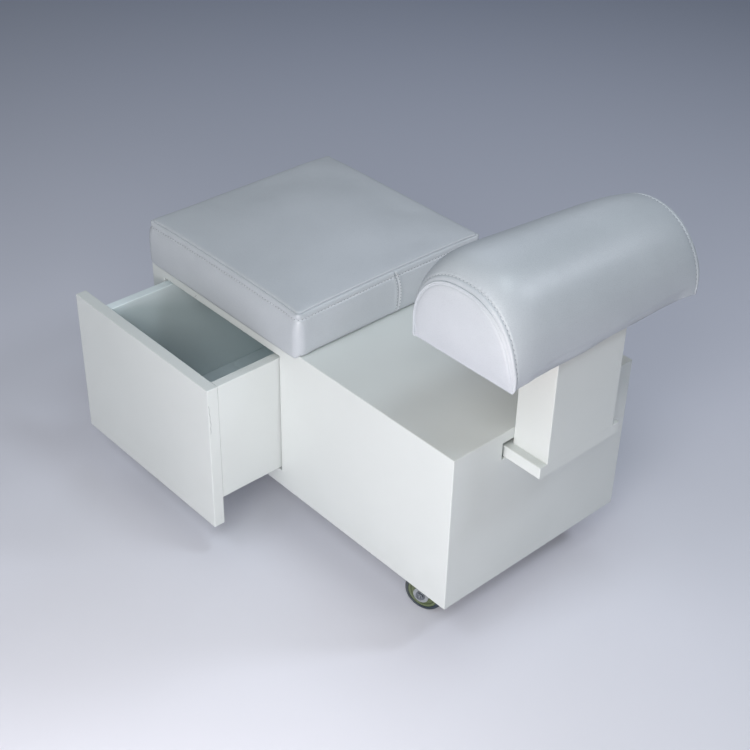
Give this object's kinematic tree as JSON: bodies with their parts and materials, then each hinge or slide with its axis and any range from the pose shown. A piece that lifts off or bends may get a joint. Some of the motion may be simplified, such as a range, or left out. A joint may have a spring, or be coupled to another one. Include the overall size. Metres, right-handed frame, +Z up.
{
  "type": "pedicure footrest stool",
  "caption": "Low white stool on swivel casters with a padded square seat over a pull-out drawer and a half-round padded footrest on a post that slides out at the front.",
  "frame": {"origin": "on the floor, below the middle of the stool's overall box", "axes": "+X from the seat towards the footrest, -Y towards the drawer, +Z up"},
  "size_m": [0.7706, 0.4828, 0.604],
  "materials": {
    "white_lacquer": "satin white lacquer on fibreboard",
    "white_leather": "smooth leatherette with a fine grain",
    "bare_wood": "sanded, unfinished",
    "zinc_steel": "zinc plated",
    "dark_steel": "zinc plated, dull",
    "polished_steel": "polished",
    "nylon": "smooth",
    "wheel_core": "moulded olive green",
    "tyre": "smooth dark tread"
  },
  "bodies": {
    "base": {"side_panel_drawer": "white_lacquer", "side_panel_plain": "white_lacquer", "front_panel": "white_lacquer", "rear_panel": "white_lacquer", "top_board": "white_lacquer", "bottom_board": "white_lacquer", "partition": "white_lacquer", "drawer_glides": "nylon", "drawer_guide": "bare_wood", "tongue_rail_near": "bare_wood", "tongue_rail_far": "bare_wood", "seat_board": "bare_wood", "seat_cushion": "white_leather", "seat_screws": "zinc_steel", "caster_screws": "zinc_steel", "caster_kingpins": "dark_steel", "caster_balls": "polished_steel", "caster_plate_rear_near": "zinc_steel", "caster_plate_rear_far": "zinc_steel", "caster_plate_front_near": "zinc_steel", "caster_plate_front_far": "zinc_steel"},
    "drawer": {"drawer_front": "white_lacquer", "drawer_side_rear": "white_lacquer", "drawer_side_front": "white_lacquer", "drawer_back": "white_lacquer", "drawer_bottom": "white_lacquer", "drawer_dowels": "bare_wood", "drawer_stop_pegs": "zinc_steel"},
    "footrest": {"tongue_board": "white_lacquer", "tongue_stop": "bare_wood", "post_front": "white_lacquer", "post_back": "white_lacquer", "post_side_near": "white_lacquer", "post_side_far": "white_lacquer", "post_cleats": "bare_wood", "post_screws": "zinc_steel", "bolster_board": "bare_wood", "bolster_cushion": "white_leather", "bolster_screws": "zinc_steel"},
    "caster_swivel_rear_near": {"caster_fork_rear_near": "zinc_steel", "caster_axle_rear_near": "dark_steel"},
    "caster_wheel_rear_near": {"caster_core_rear_near": "wheel_core", "caster_tyre_rear_near": "tyre"},
    "caster_swivel_rear_far": {"caster_fork_rear_far": "zinc_steel", "caster_axle_rear_far": "dark_steel"},
    "caster_wheel_rear_far": {"caster_core_rear_far": "wheel_core", "caster_tyre_rear_far": "tyre"},
    "caster_swivel_front_near": {"caster_fork_front_near": "zinc_steel", "caster_axle_front_near": "dark_steel"},
    "caster_wheel_front_near": {"caster_core_front_near": "wheel_core", "caster_tyre_front_near": "tyre"},
    "caster_swivel_front_far": {"caster_fork_front_far": "zinc_steel", "caster_axle_front_far": "dark_steel"},
    "caster_wheel_front_far": {"caster_core_front_far": "wheel_core", "caster_tyre_front_far": "tyre"}
  },
  "joints": [
    {"name": "drawer_slide", "type": "slide", "parent": "base", "child": "drawer", "axis": [0, -1, 0], "range_m": [-0.1065, 0.113]},
    {"name": "footrest_slide", "type": "slide", "parent": "base", "child": "footrest", "axis": [1, 0, 0], "range_m": [0, 0.15]},
    {"name": "swivel_rear_near", "type": "hinge", "parent": "base", "child": "caster_swivel_rear_near", "pos_m": [-0.3088, -0.07037, 0.081], "axis": [0, 0, 1], "continuous": true},
    {"name": "roll_rear_near", "type": "hinge", "parent": "caster_swivel_rear_near", "child": "caster_wheel_rear_near", "pos_m": [-0.33015, -0.06505, 0.03], "axis": [0.2419, 0.9703, 0], "continuous": true},
    {"name": "swivel_rear_far", "type": "hinge", "parent": "base", "child": "caster_swivel_rear_far", "pos_m": [-0.3088, 0.18762, 0.081], "axis": [0, 0, 1], "continuous": true},
    {"name": "roll_rear_far", "type": "hinge", "parent": "caster_swivel_rear_far", "child": "caster_wheel_rear_far", "pos_m": [-0.33053, 0.18418, 0.03], "axis": [-0.1564, 0.9877, 0], "continuous": true},
    {"name": "swivel_front_near", "type": "hinge", "parent": "base", "child": "caster_swivel_front_near", "pos_m": [0.2452, -0.07037, 0.081], "axis": [0, 0, 1], "continuous": true},
    {"name": "roll_front_near", "type": "hinge", "parent": "caster_swivel_front_near", "child": "caster_wheel_front_near", "pos_m": [0.22416, -0.07681, 0.03], "axis": [-0.2924, 0.9563, 0], "continuous": true},
    {"name": "swivel_front_far", "type": "hinge", "parent": "base", "child": "caster_swivel_front_far", "pos_m": [0.2452, 0.18762, 0.081], "axis": [0, 0, 1], "continuous": true},
    {"name": "roll_front_far", "type": "hinge", "parent": "caster_swivel_front_far", "child": "caster_wheel_front_far", "pos_m": [0.22577, 0.1773, 0.03], "axis": [-0.4695, 0.8829, 0], "continuous": true}
  ]
}
